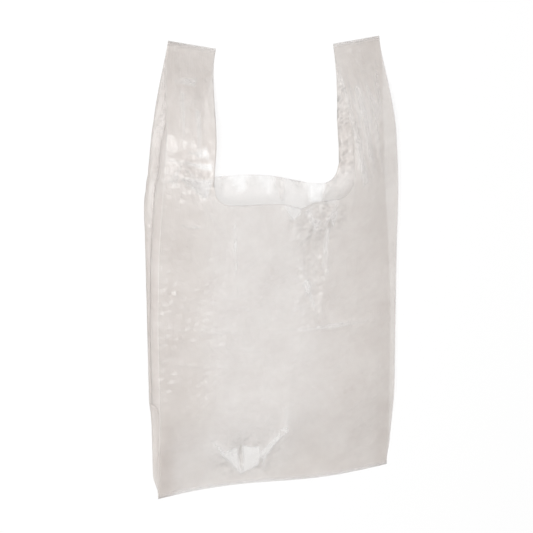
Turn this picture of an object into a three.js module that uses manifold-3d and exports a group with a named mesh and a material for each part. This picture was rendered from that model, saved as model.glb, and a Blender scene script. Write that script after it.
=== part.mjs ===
import * as THREE from 'three';
import { mergeVertices } from 'three/addons/utils/BufferGeometryUtils.js';
import Module from 'manifold-3d';

// A vest carrier bag: one tube of thin film, folded in at both sides, welded across the bottom and across
// the top of each handle, and punched through all its layers for the mouth. It lies on its back, with +X
// to the right of its front, +Y towards the handles and +Z up. Millimetres.

// The bag laid flat
const frontWidth = 290;
const gussetDepth = 80;
const bagLength = 540;
const handleWidth = 56;
const mouthHeight = 390;
const mouthCornerRadius = 20;
const sealWidth = 6;
const weldFlash = 0.5;

// The film, drawn thicker than the real one so that it has a wall
const filmThickness = 0.5;
const sealedLayerGap = 0.2;
const foldRadius = 1.2;
const foldOpeningLength = 40;

// How far the bag has fallen open as it lies
const leftCreaseRise = 24;
const rightCreaseRise = 18;
const handleRise = 10;
const bellyRise = 11;
const mouthRise = 6;
const bellyStart = 120;
const handleFall = 96;
const backMouthLift = 2;
const backHandleLift = 5;
const handleGape = 0.5;
const handleGapeStart = 350;
const handleGapeLength = 60;

// How the folds at the sides stand: the angle that the film turns through, in degrees
const flatTurn = 179;
const leftOpenTurn = 22;
const rightOpenTurn = 138;
const leftBackOpenTurn = 35;
const rightBackOpenTurn = 105;
const tuckedLength = 112;
const tuckLength = 16;
const tuckedTurn = 70;
const gussetSag = 0.45;
const gussetStiffness = 0.42;
const gussetDip = 1.25;

// How the film is drawn out of square
const frontShift = { left: 1, leftAtMouth: 6, right: 2 };
const backShift = { left: -5, leftAtMouth: -5, right: -7 };
const shiftStart = 25;
const leftHandleLean = 11;
const rightHandleLean = 8;
const frontMouthRetreat = 30;
const frontCornerRetreat = 24;
const frontNotch = 6;
const frontNotchPlace = 20;
const frontNotchReach = 14;
const frontNotchLength = 60;
const backMouthRetreat = 15;
const backRetreatPlace = 62;
const backRetreatReach = 55;
const bottomWave = 4;
const bottomSkew = 9;
const leanStart = 300;

// Folds and crumples in the front: each runs from one place on the flat front to another, as distances
// from its middle and from its bottom edge, and stands up or, below zero, dips by its height
const frontFolds = [
  { from: [-82, 71], to: [-42, 16], width: 13, height: 5 },
  { from: [-42, 16], to: [8, 77], width: 13, height: 6 },
  { from: [8, 77], to: [6, 112], width: 12, height: 4 },
  { from: [-44, 62], to: [-44, 36], width: 15, height: -4 },
  { from: [24, 220], to: [108, 218], width: 12, height: 3.5 },
  { from: [8, 374], to: [14, 340], width: 13, height: -5 },
  { from: [34, 350], to: [38, 240], width: 15, height: -2.2 },
  { from: [68, 388], to: [44, 352], width: 11, height: 4 },
  { from: [-60, 362], to: [-56, 303], width: 14, height: 2.5 },
  { from: [-124, 422], to: [-90, 394], width: 12, height: 5 },
  { from: [-136, 424], to: [-92, 429], width: 11, height: -3.5 },
  { from: [91, 500], to: [102, 402], width: 11, height: 4.5 },
  { from: [107, 488], to: [114, 420], width: 10, height: -3.5 },
];

// The grid on the film
const handleCells = 4;
const cornerCells = 3;
const middleCells = 8;
const foldCells = 3;
const leafCells = 5;
const leafCrowding = 1.3;
const bodyRows = 22;
const handleRows = 8;
const weldCells = 14;
const depthHalvings = 18;
const edgeTolerance = 0.001;

const halfWidth = frontWidth / 2;
const handleEdge = halfWidth - handleWidth;
const cornerTop = mouthHeight + mouthCornerRadius;
const layerPitch = filmThickness + sealedLayerGap;
const sealedHeight = 3 * layerPitch;
const backLevel = filmThickness / 2;

const { smoothstep, lerp, degToRad } = THREE.MathUtils;

// Where the punch leaves the film's edge, above the bottom edge, at a distance from the middle
function punchedEdge(x) {
  const into = Math.abs(x) - (handleEdge - mouthCornerRadius);
  if (into <= 0) return mouthHeight;
  if (into >= mouthCornerRadius) return cornerTop;
  return cornerTop - Math.sqrt(mouthCornerRadius ** 2 - into ** 2);
}

// 0 at both seals and 1 once the film is clear of them
function clearOfSeals(v, bottomRun, topRun) {
  const bottom = smoothstep(v, sealWidth, sealWidth + bottomRun);
  const top = 1 - smoothstep(v, bagLength - sealWidth - topRun, bagLength - sealWidth);
  return bottom * top;
}

function roundingAt(v) {
  return lerp(layerPitch / 2, foldRadius, clearOfSeals(v, foldOpeningLength, foldOpeningLength));
}

// Height of the front crease on one side, -1 left and 1 right
function creaseHeight(side, v) {
  const rise = side < 0 ? leftCreaseRise : rightCreaseRise;
  const handle = handleRise * smoothstep(v, mouthHeight - handleFall, cornerTop);
  const open = clearOfSeals(v, bellyStart, handleFall);
  return backLevel + sealedHeight + (rise + handle) * open;
}

// A fold's height at a place: a rounded ridge along a line, fading out past both ends
function foldHeight(fold, x, v) {
  const line = new THREE.Line3(
    new THREE.Vector3(...fold.from, 0),
    new THREE.Vector3(...fold.to, 0),
  );
  const here = new THREE.Vector3(x, v, 0);
  const nearest = line.closestPointToPoint(here, true, new THREE.Vector3());
  return fold.height * Math.exp(-((here.distanceTo(nearest) / fold.width) ** 2));
}

function frontHeight(x, v) {
  const across = x / halfWidth;
  const sides = lerp(creaseHeight(-1, v), creaseHeight(1, v), (across + 1) / 2);
  const mouth = mouthRise * smoothstep(v, mouthHeight - handleFall, mouthHeight);
  const arch = (bellyRise + mouth) * (1 - across ** 2);
  const open = clearOfSeals(v, bellyStart, handleFall);
  const folds = frontFolds.reduce((sum, fold) => sum + foldHeight(fold, x, v), 0);
  const nearCrease = 1 - across ** 8;
  return sides + (arch + folds * nearCrease) * open;
}

function backHeight(x, v) {
  const middle = 1 - smoothstep(Math.abs(x), handleEdge - mouthCornerRadius, handleEdge);
  const mouth = backMouthLift * middle * smoothstep(v, mouthHeight - handleFall / 2, mouthHeight);
  const start = cornerTop - handleFall / 2;
  const along = (v - start) / (bagLength - sealWidth - start);
  const handle = along > 0 && along < 1 ? backHandleLift * Math.sin(Math.PI * along) ** 2 : 0;
  return backLevel + mouth + handle;
}

// How far a panel's film has moved across, between its two creases
function shiftAt(x, face, v) {
  const shift = face > 0 ? frontShift : backShift;
  const left = lerp(shift.left, shift.leftAtMouth, smoothstep(v, mouthHeight / 2, mouthHeight));
  return lerp(left, shift.right, (x / halfWidth + 1) / 2) * clearOfSeals(v, shiftStart, handleFall);
}

// How far the front's mouth hangs back from its flat place: most in the middle and in one notch beside it,
// fading up the handles
function frontRetreat(x, v) {
  const beside = Math.min(Math.abs(x) / handleEdge, 1);
  const most = lerp(frontMouthRetreat, frontCornerRetreat, beside ** 2);
  const outward = 1 - smoothstep(Math.abs(x), handleEdge, halfWidth) / 2;
  const rising = smoothstep(v, 0, mouthHeight);
  const falling = 1 - smoothstep(v, mouthHeight, bagLength - sealWidth);
  const beyond = Math.exp(-(((x - frontNotchPlace) / frontNotchReach) ** 2));
  const notch = frontNotch * beyond * smoothstep(v, mouthHeight - frontNotchLength, mouthHeight);
  return (most * outward * rising + notch) * falling;
}

// The same for the back's mouth: a bell curve to the right of the middle
function backRetreat(x, v) {
  const place = Math.exp(-(((x - backRetreatPlace) / backRetreatReach) ** 2));
  const inside = 1 - smoothstep(Math.abs(x), handleEdge, halfWidth);
  const rising = smoothstep(v, mouthHeight / 2, mouthHeight);
  const falling = 1 - smoothstep(v, mouthHeight, bagLength - sealWidth);
  return backMouthRetreat * place * inside * rising * falling;
}

// Where the flat film's place lands in plan: the bottom edge is skewed and a slow wave, and the handles lean
// inwards along a parabola and turn with it
function inPlan(x, v) {
  const nearBottom = 1 - smoothstep(v, 0, mouthHeight / 2);
  const wave = bottomWave * Math.sin((Math.PI * x) / halfWidth) - bottomSkew * (x / halfWidth);
  const side = Math.sign(x);
  const outer = smoothstep(Math.abs(x), 0, handleEdge);
  const leanRun = bagLength - leanStart;
  const up = THREE.MathUtils.clamp((v - leanStart) / leanRun, 0, 1);
  const lean = degToRad(side < 0 ? leftHandleLean : rightHandleLean);
  const angle = -side * lean * up * outer;
  const beside = (x - side * (halfWidth - handleWidth / 2)) * outer;
  return new THREE.Vector2(
    x + (Math.tan(angle) * up * leanRun) / 2 - beside * (1 - Math.cos(angle)),
    v - wave * nearBottom - beside * Math.sin(angle),
  );
}

// The centre of the rounded crease between the front or the back and a gusset, in one cross-section
function creaseCentre(side, face, v) {
  const radius = roundingAt(v);
  const z = face > 0 ? creaseHeight(side, v) - radius : backHeight(side * halfWidth, v) + radius;
  return new THREE.Vector2(side * halfWidth + shiftAt(side * halfWidth, face, v), z);
}

// The angle that a crease turns the film through
function creaseTurn(side, face, v) {
  const open = clearOfSeals(v, bellyStart, handleFall);
  if (face < 0) return lerp(flatTurn, side < 0 ? leftBackOpenTurn : rightBackOpenTurn, open);
  if (side > 0) return lerp(flatTurn, rightOpenTurn, open);
  const opening = smoothstep(v, tuckedLength, tuckedLength + tuckLength);
  return lerp(flatTurn, lerp(tuckedTurn, leftOpenTurn, opening), open);
}

// A place on a rounded crease: turned 0 lies on the front or back, and turned 1 on the gusset
function creasePoint(side, face, turned, v) {
  const angle = degToRad(90 - creaseTurn(side, face, v) * turned);
  const centre = creaseCentre(side, face, v);
  const radius = roundingAt(v);
  return new THREE.Vector2(
    centre.x + side * radius * Math.cos(angle),
    centre.y + face * radius * Math.sin(angle),
  );
}

// Both halves of a gusset in one cross-section, each a curve from its crease in to the centre fold. It leaves
// the crease as the crease turns it, and the fold lies as deep in the bag as the gusset's own width leaves.
function gussetHalves(side, v) {
  const open = clearOfSeals(v, bellyStart, handleFall);
  const sag = lerp(0.5, gussetSag, open);
  const back = backHeight(side * halfWidth, v);
  const gap = creaseHeight(side, v) - back;
  const middle = back + gap * sag;
  const opened = smoothstep(v, handleGapeStart, handleGapeStart + handleGapeLength) * open;
  const gape = (handleGape / 2) * gap * opened;
  const radius = roundingAt(v);
  const reach = gussetDepth * gussetStiffness;
  const half = (face, depth) => {
    const turn = degToRad(creaseTurn(side, face, v));
    const start = creasePoint(side, face, 1, v);
    const end = new THREE.Vector2(side * (halfWidth - depth), middle + face * (radius + gape));
    const away = new THREE.Vector2(side * Math.cos(turn), -face * Math.sin(turn));
    const room = gussetDip * Math.abs(start.y - end.y);
    const leaving = start.clone().addScaledVector(away, Math.min(reach, room / Math.sin(turn)));
    const arriving = end.clone().add(new THREE.Vector2(side * reach, 0));
    return new THREE.CubicBezierCurve(start, leaving, arriving, end);
  };
  let [shallow, deep] = [0, halfWidth];
  for (let i = 0; i < depthHalvings; i += 1) {
    const depth = (shallow + deep) / 2;
    const long = half(1, depth).getLength() + half(-1, depth).getLength() > 2 * gussetDepth;
    if (long) deep = depth;
    else shallow = depth;
  }
  return { 1: half(1, shallow), '-1': half(-1, shallow), middle, radius };
}

const foundHalves = new Map();
function gussetAt(side, v) {
  const key = `${side} ${v}`;
  if (!foundHalves.has(key)) foundHalves.set(key, gussetHalves(side, v));
  return foundHalves.get(key);
}

// The columns of the grid, once round the tube. Each has its flat distance x from the middle, whether it
// runs up into a handle, its share of the front's retreat, and its place (across, height) at a length v.
function panelColumns(face) {
  const outer = handleEdge - mouthCornerRadius;
  const xs = [
    ...stations(-halfWidth, -handleEdge, handleCells),
    ...stations(-handleEdge, -outer, cornerCells).slice(1),
    ...stations(-outer, outer, middleCells).slice(1),
    ...stations(outer, handleEdge, cornerCells).slice(1),
    ...stations(handleEdge, halfWidth, handleCells).slice(1),
  ];
  const height = face > 0 ? frontHeight : backHeight;
  const columns = xs.map((x) => ({
    x,
    place: (v) => new THREE.Vector2(x + shiftAt(x, face, v), height(x, v)),
    retreat: (v) => (face > 0 ? frontRetreat(x, v) : backRetreat(x, v)),
  }));
  return face > 0 ? columns : columns.reverse();
}

// A crease and the half gusset beyond it, from the panel's edge to the centre fold
function sideColumns(side, face) {
  const retreatShare = (inward) => (face > 0 ? 1 - inward / 2 : inward / 2);
  const crease = stations(0, 1, foldCells).slice(1, -1).map((turned) => ({
    x: side * halfWidth,
    place: (v) => creasePoint(side, face, turned, v),
    retreat: (v) => retreatShare(0) * frontRetreat(side * halfWidth, v),
  }));
  const insideHandle = stations(0, 1, leafCells).map((part) => handleWidth * part ** leafCrowding);
  const behindCorner = stations(handleWidth, gussetDepth, cornerCells).slice(1);
  const leaf = [...insideHandle, ...behindCorner].map((inward) => ({
    x: side * (halfWidth - inward),
    place: (v) => gussetAt(side, v)[face].getPointAt(inward / gussetDepth),
    retreat: (v) => retreatShare(inward / gussetDepth) * frontRetreat(side * halfWidth, v),
  }));
  return [...crease, ...leaf];
}

// The rounded fold at the gusset's centre, from its front half round to its back half
function centreColumns(side) {
  return stations(0, 1, foldCells).slice(1, -1).map((turned) => ({
    x: side * (halfWidth - gussetDepth),
    place: (v) => {
      const gusset = gussetAt(side, v);
      const front = gusset[1].getPoint(1);
      const angle = Math.PI * turned;
      return new THREE.Vector2(
        front.x - side * gusset.radius * Math.sin(angle),
        gusset.middle + (front.y - gusset.middle) * Math.cos(angle),
      );
    },
    retreat: (v) => 0.5 * frontRetreat(side * halfWidth, v),
  }));
}

function stations(from, to, cells) {
  return Array.from({ length: cells + 1 }, (_, i) => lerp(from, to, i / cells));
}

const columns = [
  ...panelColumns(1),
  ...sideColumns(1, 1),
  ...centreColumns(1),
  ...sideColumns(1, -1).reverse(),
  ...panelColumns(-1),
  ...sideColumns(-1, -1),
  ...centreColumns(-1).reverse(),
  ...sideColumns(-1, 1).reverse(),
];

// Length from the bottom edge of a column's place in a row: the body's rows end at the punched edge, and
// the handles' rows go on to the top
function lengthAt(column, row) {
  const edge = punchedEdge(column.x);
  if (row === 0) return 0;
  if (row <= bodyRows) return lerp(sealWidth, edge, (row - 1) / (bodyRows - 1));
  if (row === bodyRows + handleRows) return bagLength;
  return lerp(cornerTop, bagLength - sealWidth, (row - bodyRows) / (handleRows - 1));
}

function filmPoint(column, row) {
  const v = lengthAt(column, row);
  const section = column.place(v);
  const plan = inPlan(section.x, v);
  return new THREE.Vector3(plan.x, plan.y - column.retreat(v), section.y);
}

// The film's middle surface: its points, and its four-sided cells as point numbers
function middleSurface() {
  const points = [];
  const numbers = columns.map(() => []);
  columns.forEach((column, c) => {
    const inHandle = Math.abs(column.x) > handleEdge - edgeTolerance;
    const rows = inHandle ? bodyRows + handleRows : bodyRows;
    for (let row = 0; row <= rows; row += 1) {
      numbers[c].push(points.length);
      points.push(filmPoint(column, row));
    }
  });
  const cells = [];
  columns.forEach((column, c) => {
    const here = numbers[c];
    const next = numbers[(c + 1) % columns.length];
    for (let row = 1; row < Math.min(here.length, next.length); row += 1) {
      cells.push([here[row - 1], next[row - 1], next[row], here[row]]);
    }
  });
  return { points, cells };
}

// The film's wall: the middle surface moved half a thickness out and half in, closed along every cut edge
function filmWall({ points, cells }) {
  const normals = points.map(() => new THREE.Vector3());
  for (const cell of cells) {
    const [a, b, c, d] = cell.map((i) => points[i]);
    const normal = new THREE.Vector3().crossVectors(c.clone().sub(a), d.clone().sub(b)).normalize();
    for (const i of cell) normals[i].add(normal);
  }
  const count = points.length;
  const positions = new Float32Array(count * 6);
  points.forEach((point, i) => {
    const half = normals[i].normalize().multiplyScalar(filmThickness / 2);
    point.clone().add(half).toArray(positions, 3 * i);
    point.clone().sub(half).toArray(positions, 3 * (i + count));
  });
  const triangles = [];
  const edges = new Map();
  for (const [a, b, c, d] of cells) {
    triangles.push(a, b, c, a, c, d);
    triangles.push(a + count, c + count, b + count, a + count, d + count, c + count);
    for (const [from, to] of [[a, b], [b, c], [c, d], [d, a]]) {
      if (!edges.delete(`${to} ${from}`)) edges.set(`${from} ${to}`, [from, to]);
    }
  }
  for (const [from, to] of edges.values()) {
    triangles.push(from, from + count, to + count, from, to + count, to);
  }
  return solidOf(positions, triangles);
}

// A weld: a flat bar that takes in all the folded layers, between two lengths and two distances across
function weld(fromX, toX, fromV, toV) {
  const along = stations(fromX, toX, weldCells);
  const outline = [
    ...along.map((x) => inPlan(x, fromV)),
    ...along.reverse().map((x) => inPlan(x, toV)),
  ];
  const depth = sealedHeight + filmThickness;
  const bar = new THREE.ExtrudeGeometry(new THREE.Shape(outline), { depth, bevelEnabled: false });
  bar.deleteAttribute('normal');
  bar.deleteAttribute('uv');
  const merged = mergeVertices(bar);
  return solidOf(merged.attributes.position.array, merged.index.array);
}

function solidOf(positions, triangles) {
  const mesh = new wasm.Mesh({
    numProp: 3,
    vertProperties: new Float32Array(positions),
    triVerts: new Uint32Array(triangles),
  });
  return new wasm.Manifold(mesh);
}

function buildBag() {
  const outside = halfWidth + layerPitch / 2 + filmThickness / 2 + weldFlash;
  const bottomWeld = weld(-outside, outside, -weldFlash, sealWidth);
  const handleWelds = [-1, 1].map((side) => {
    const [near, far] = [side * (handleEdge - weldFlash), side * outside].sort((a, b) => a - b);
    return weld(near, far, bagLength - sealWidth, bagLength + weldFlash);
  });
  const film = filmWall(middleSurface());
  const bag = [bottomWeld, ...handleWelds].reduce((solid, bar) => solid.add(bar), film);
  const { vertProperties, triVerts } = bag.getMesh();
  const geometry = new THREE.BufferGeometry();
  geometry.setAttribute('position', new THREE.BufferAttribute(vertProperties, 3));
  geometry.setIndex(new THREE.BufferAttribute(triVerts, 1));
  geometry.computeBoundingBox();
  const box = geometry.boundingBox;
  const centre = box.getCenter(new THREE.Vector3());
  geometry.translate(-centre.x, -centre.y, -box.min.z);
  geometry.computeVertexNormals();
  return geometry;
}

const wasm = await Module();
wasm.setup();

const film = new THREE.MeshStandardMaterial({
  color: '#dcd7d3',
  roughness: 0.42,
  metalness: 0,
  side: THREE.DoubleSide,
});
const carrierBag = new THREE.Mesh(buildBag(), film);
carrierBag.name = 'carrier_bag';

const bag = new THREE.Group();
bag.add(carrierBag);

export default bag;
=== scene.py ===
import math

import bpy
import numpy as np
from bpy.props import FloatProperty, FloatVectorProperty, PointerProperty
from bpy.types import Operator, Panel, PropertyGroup
from mathutils import Matrix, Vector


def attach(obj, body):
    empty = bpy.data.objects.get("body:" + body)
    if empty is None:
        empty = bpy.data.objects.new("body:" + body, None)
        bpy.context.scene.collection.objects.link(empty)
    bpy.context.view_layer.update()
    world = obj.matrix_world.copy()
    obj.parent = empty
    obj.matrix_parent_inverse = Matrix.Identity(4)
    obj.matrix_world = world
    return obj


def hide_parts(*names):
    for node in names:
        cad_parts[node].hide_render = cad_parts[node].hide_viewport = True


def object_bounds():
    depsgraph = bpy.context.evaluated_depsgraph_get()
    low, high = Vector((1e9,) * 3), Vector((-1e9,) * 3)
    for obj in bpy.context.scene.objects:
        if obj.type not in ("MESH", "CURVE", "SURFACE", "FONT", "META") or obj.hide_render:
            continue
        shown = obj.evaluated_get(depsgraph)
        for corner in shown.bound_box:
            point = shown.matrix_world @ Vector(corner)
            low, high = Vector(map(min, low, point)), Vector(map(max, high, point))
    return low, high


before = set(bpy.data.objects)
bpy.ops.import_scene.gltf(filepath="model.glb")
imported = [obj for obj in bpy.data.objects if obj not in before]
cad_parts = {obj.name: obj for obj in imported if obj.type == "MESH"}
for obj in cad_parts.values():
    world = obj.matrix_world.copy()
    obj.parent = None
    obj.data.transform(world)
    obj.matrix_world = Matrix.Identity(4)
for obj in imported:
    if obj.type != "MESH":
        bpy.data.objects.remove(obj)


def linear(hex_colour):
    """An sRGB hex colour as the linear colour that a shader takes."""
    parts = [int(hex_colour[i: i + 2], 16) / 255 for i in (1, 3, 5)]
    return tuple(c / 12.92 if c <= 0.04045 else ((c + 0.055) / 1.055) ** 2.4 for c in parts) + (1.0,)


bl_info = {
    "name": "Vest carrier bag",
    "version": (1, 0, 0),
    "blender": (4, 5, 0),
    "location": "3D View > Sidebar > Carrier bag",
    "description": "Builds an empty film carrier bag, lying on its back, from its flat sizes",
    "category": "Add Mesh",
}

# The film is worked out in millimetres: x across the flat bag from its middle, and v up from its bottom edge.
# side is -1 on the bag's left and 1 on its right, and face is 1 on its front and -1 on its back.
MM = 0.001
NODE = "carrier_bag"
CAD_BOX = [list(corner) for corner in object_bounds()]

# How far the bag has fallen open as it lies
LEFT_CREASE_RISE = 24
RIGHT_CREASE_RISE = 18
HANDLE_RISE = 10
BELLY_RISE = 11
MOUTH_RISE = 6
BELLY_START = 120
HANDLE_FALL = 96
BACK_MOUTH_LIFT = 2
BACK_HANDLE_LIFT = 5
HANDLE_GAPE = 0.5
HANDLE_GAPE_START = 350
HANDLE_GAPE_LENGTH = 60

# How the side folds stand: the angle that the film turns through, in degrees
FLAT_TURN = 179
LEFT_OPEN_TURN = 22
RIGHT_OPEN_TURN = 138
LEFT_BACK_OPEN_TURN = 35
RIGHT_BACK_OPEN_TURN = 105
TUCKED_LENGTH = 112
TUCK_LENGTH = 16
TUCKED_TURN = 70
GUSSET_SAG = 0.45
GUSSET_STIFFNESS = 0.42
GUSSET_DIP = 1.25

# How the film is drawn out of square
LEFT_FRONT_SHIFT = 1
LEFT_MOUTH_SHIFT = 6
RIGHT_FRONT_SHIFT = 2
LEFT_BACK_SHIFT = -5
RIGHT_BACK_SHIFT = -7
RIGHT_BACK_BODY_SHIFT = 1
SHIFT_START = 25
LEFT_HANDLE_LEAN = 11
RIGHT_HANDLE_LEAN = 8
FRONT_MOUTH_RETREAT = 30
FRONT_CORNER_RETREAT = 24
FRONT_NOTCH = 6
FRONT_NOTCH_PLACE = 20
FRONT_NOTCH_REACH = 14
FRONT_NOTCH_LENGTH = 60
BACK_MOUTH_RETREAT = 15
BACK_RETREAT_PLACE = 62
BACK_RETREAT_REACH = 55
BOTTOM_WAVE = 4
BOTTOM_SKEW = 9
LEAN_START = 300

# Folds: the layers lie this far apart in the welds, and open to this radius away from them
SEALED_LAYER_GAP = 0.16
FOLD_RADIUS = 1.0
FOLD_OPENING_LENGTH = 40

# The grid on the film: cells across each stretch, and rows up the body and the handles
FRONT_CELLS = (24, 9, 52)
BACK_CELLS = (12, 6, 26)
LEAF_CELLS = (14, 5)
LEAF_CROWDING = 1.3
FOLD_CELLS = 4
BODY_ROWS = 140
HANDLE_ROWS = 48
CURVE_STEPS = 48
DEPTH_HALVINGS = 24
TABLE_STEPS = 400

# Painted light and shade, with the whitening of hard folds: how far a fold lightens the film on each side, in
# millimetres, how high a crease ridge is whitened and painted light fully, how light the bag's side folds
# are, the share of the light stopped that the whitening and painted highlights give back, how much more the
# painted glints give on random facets, and how many films' worth more a place of painted shade stops
WHITENED_AND_HIGHLIT_WIDTH = 1.3
CREASE_FULL_WHITE_AND_HIGHLIGHT = 5
SIDE_FOLD_LIGHT = 0.2
WHITE_AND_HIGHLIGHT_SHARE = 0.8
PAINTED_GLINT_GAIN = 0.2
PAINTED_SHADE_DENSITY = 0.7

# How many films' worth of light each stretch stops. The milky film blurs the gusset's layers behind it, so
# most of what they stop is drawn on the front and the back, and fades in from one place across to another
FRONT_DENSITY = 1.65
BACK_DENSITY = 0.9
LEFT_DENSITY = 2.6
LEFT_DENSITY_AT_BOTTOM = 1.35
LEFT_PLACES = (62, 106)
RIGHT_DENSITY = 1.95
RIGHT_PLACES = (30, 92)
RIGHT_PLACES_AT_BOTTOM = (0, 46)
SIDE_DENSITY_HEIGHTS = (40, 130)
BOTTOM_DENSITY = 0.35
BOTTOM_HEIGHTS = (12, 62)
BOTTOM_PLACES = (60, 110)
MOUTH_DENSITY = 1.05
HANDLE_EDGE_DENSITY = 2.4
HANDLE_EDGE_REACH = (12, 34)
LEFT_CREASE_DENSITY = (4.4, 1.5)
RIGHT_CREASE_DENSITY = 1.5
CREASE_DENSITY_HEIGHTS = (330, 430)
CREASE_DENSITY_REACH = 0.35
GUSSET_DENSITY = 0.3
GUSSET_FADE = 0.7
EDGE_THINNING = 0.7
EDGE_REACH = 5

# The film's fine patterns, in metres: clouds in the melt, streaks up the tube, and the crackle of handling,
# waves of sharp crests that each run their own way, in degrees and metres from crest to crest, drawn twice as
# coarse as they are so that they show
CLOUD_SIZE = 0.035
STREAK_SIZE = 0.0015
STREAK_STRETCH = 0.03
MOTTLE_SIZE = 0.01
MOTTLE_SHARE = 0.2
MOTTLE_DENSITY = 0.02
NOISE_RANGE = (0.25, 0.75)
FINE_DETAIL = 3.0
WRINKLE_WAVES = ((8, 0.011), (63, 0.009), (97, 0.014), (146, 0.010))
WAVE_BEND = 2.2
WAVE_BEND_SIZE = 0.06
WAVE_SLOPE = 0.24
STREAK_HEIGHT = 0.0003
LAYER_APART = 0.2
ROUGHNESS_SPREAD = 0.06
FILM_IOR = 1.53

# The welds: the teeth of the hot jaws, in millimetres, and in metres the dots between them, drawn coarser
# than they are so that they show
CRIMP_STEP = 1.6
CRIMP_HEIGHT = 0.06
WELD_CELLS_PER_TOOTH = 4
WELD_SIDES = 16
DOT_SIZE = 0.0028
DOT_SCATTER = 0.2
DOT_RANGE = (0.15, 0.55)
DOT_COVER = (2, 0.25)

# The stage, in metres, watts and degrees
FLOOR_SIZE = 8.0
PAPER_GRAIN = 0.002
PAPER_COLOURS = (linear("#F7F7F7"), linear("#FBFBFB"))
LAMPS = {
    "key_lamp": ((-0.75, 0.1, 2.4), 0.7, 38.5),
    "gleam_lamp": ((-0.2, 1.9, 1.2), 0.3, 4.0),
}
VIEW_AIM = (-0.0096, 0.0113, 0.02)
VIEW_TURN = 13.1
VIEW_DROP = 14.35
VIEW_ROLL = -0.3
VIEW_DISTANCE = 1.85
VIEW_LENS = 106.1

# A line of sight may cross this many skins of film
CLEAR_LAYERS = 48

# Creases in the front film, each a sharp ridge or, below zero, a valley: from and to on the flat front, the
# width over which it fades and its height
FRONT_CREASES = (
    (-82, 71, -42, 16, 9, 5),
    (-42, 16, 8, 77, 9, 6),
    (8, 77, 6, 112, 8, 4),
    (-45, 56, -44, 30, 6, -5),
    (24, 220, 108, 218, 5, 3.0),
    (9, 374, 9, 350, 4, -4),
    (-1, 389, 9, 374, 4, 3),
    (19, 389, 9, 374, 4, 3),
    (34, 350, 38, 240, 9, -2.2),
    (68, 388, 44, 352, 6, 4),
    (-60, 364, -56, 300, 3, 1.5),
    (53, 358, 55, 288, 3, 1.6),
    (-118, 354, -102, 358, 3, 1.5),
    (-124, 422, -90, 394, 6, 3),
    (-136, 424, -92, 429, 5, -2.5),
    (-132, 501, -109, 504, 3, 2),
    (-104, 512, -101, 430, 4, -2),
    (91, 506, 90, 483, 4, 3),
    (90, 483, 95, 441, 4, 4),
    (95, 441, 102, 401, 4, 4),
    (107, 490, 109, 452, 4, 3.5),
    (109, 452, 110, 424, 4, 3),
    (135, 510, 126, 462, 3, 1.6),
    (116, 480, 118, 425, 4, -3),
)
CREASE_ENDS = 0.08

# Random forms, each drawn from a seed of its own: height and size in millimetres, and the seed
FRONT_SWELLS = ((0.9, 70, 3), (0.35, 26, 4))
FRONT_FACETING = (0.15, 14, 31)
BACK_SWELL = (0.8, 50, 5)
BACK_FACETING = (0.2, 16, 6)
BACK_MOUTH_FACETING = 1.6
GUSSET_FACETING = (0.4, 11, 7)
# Random facets that get painted glints: their size in millimetres and the seed
PAINTED_GLINT_FACETING = (8, 51)
CRUMPLE_SEED = 11
WRINKLE_SEED = 21

# How those forms are made: the folds and waves summed up in each, how their sizes spread, how the folds bend,
# and how sharply a crumpled patch ends
FOLD_WAYS = 4
FOLD_SPREAD = (0.8, 1.7)
FOLD_BEND = (0.45, 1.3, 6)
SWELL_WAVES = 6
SWELL_SPREAD = (0.7, 1.5)
PATCH_EDGE = 1.5
WRINKLE_LOWEST = 0.4

# Where the relief fades: up from the welds, towards the creases, and below the back's mouth
RELIEF_FADE = 30
GUSSET_RELIEF_FADE = 60
CREASE_FADE_POWER = 12
BACK_SWELL_REACH = 90
BACK_MOUTH_REACH = (60, 10)
GUSSET_HALVES_APART = 90

# How crackled the film is: everywhere, how much that drifts, over what distance and from which seed, the
# least of it, and the back's mouth
CRACKLE = 0.18
CRACKLE_DRIFT = (0.1, 60, 8)
LEAST_CRACKLE = 0.1
BACK_MOUTH_CRACKLE = 0.7

# Crumpled places on the front: centre, reach across and up, size and height of the facets, how crackled, and
# how many films' worth more light they stop
CRUMPLES = (
    ((-38, 44), (42, 32), 13, 2.4, 0.9, 0.0),
    ((44, 366), (36, 28), 12, 2.4, 0.7, 0.25),
    ((-108, 408), (20, 18), 15, 1.2, 0.3, 0.1),
    ((38, 285), (22, 60), 14, 1.6, 0.45, 0.3),
    ((-116, 458), (30, 50), 17, 0.4, 0.1, 0.9),
    ((116, 460), (30, 60), 15, 0.9, 0.3, 0.1),
)
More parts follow.
